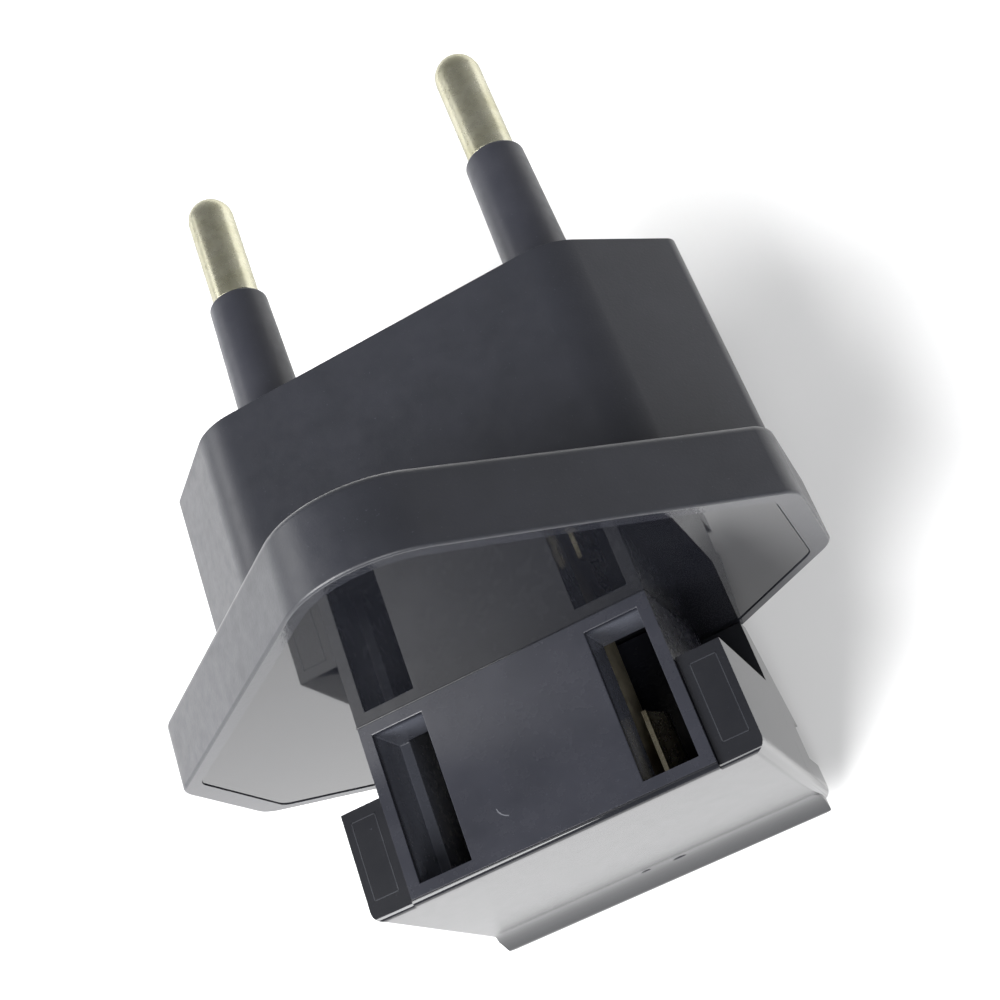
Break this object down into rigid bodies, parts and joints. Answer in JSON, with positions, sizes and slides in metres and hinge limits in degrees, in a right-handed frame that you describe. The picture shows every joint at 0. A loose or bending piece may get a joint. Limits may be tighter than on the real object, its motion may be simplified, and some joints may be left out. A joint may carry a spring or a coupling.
{
  "type": "interchangeable travel adapter plug head",
  "caption": "Slide-on two-pin Europlug head for a travel power adapter, with sleeved pins, a hexagonal body and flange, and a sliding foot with sprung contact slots.",
  "frame": {"origin": "middle of the face that the pins stand on, on the plug body's own axis", "axes": "+X from pin to pin, +Y the way the pins point, +Z the side with the two contact slots"},
  "size_m": [0.0356, 0.0507, 0.0378],
  "materials": {
    "black_satin_plastic": "satin, fine grain",
    "black_gloss_plastic": "glossy",
    "sleeve_plastic": "satin",
    "nickel_brass": "nickel plated, brushed",
    "contact_brass": "as rolled",
    "spring_bronze": "as rolled"
  },
  "bodies": {
    "head": {"plug_shell": "black_satin_plastic", "slide_base": "black_gloss_plastic", "contact_block": "black_gloss_plastic", "pin_left": "nickel_brass", "pin_right": "nickel_brass", "pin_sleeve_left": "sleeve_plastic", "pin_sleeve_right": "sleeve_plastic", "contact_strip_left": "contact_brass", "contact_strip_right": "contact_brass", "leaf_rivet_left": "contact_brass", "leaf_rivet_right": "contact_brass"},
    "leaf_left": {"contact_leaf_left": "spring_bronze"},
    "leaf_right": {"contact_leaf_right": "spring_bronze"}
  },
  "joints": [
    {"name": "leaf_left_flex", "type": "hinge", "parent": "head", "child": "leaf_left", "pos_m": [-0.00495, -0.02665, -0.0041], "axis": [0, 1, 0], "range_deg": [0, 3], "stiffness_Nm_per_rad": 0.09},
    {"name": "leaf_right_flex", "type": "hinge", "parent": "head", "child": "leaf_right", "pos_m": [0.00495, -0.02665, -0.0041], "axis": [0, -1, 0], "range_deg": [0, 3], "stiffness_Nm_per_rad": 0.09}
  ]
}
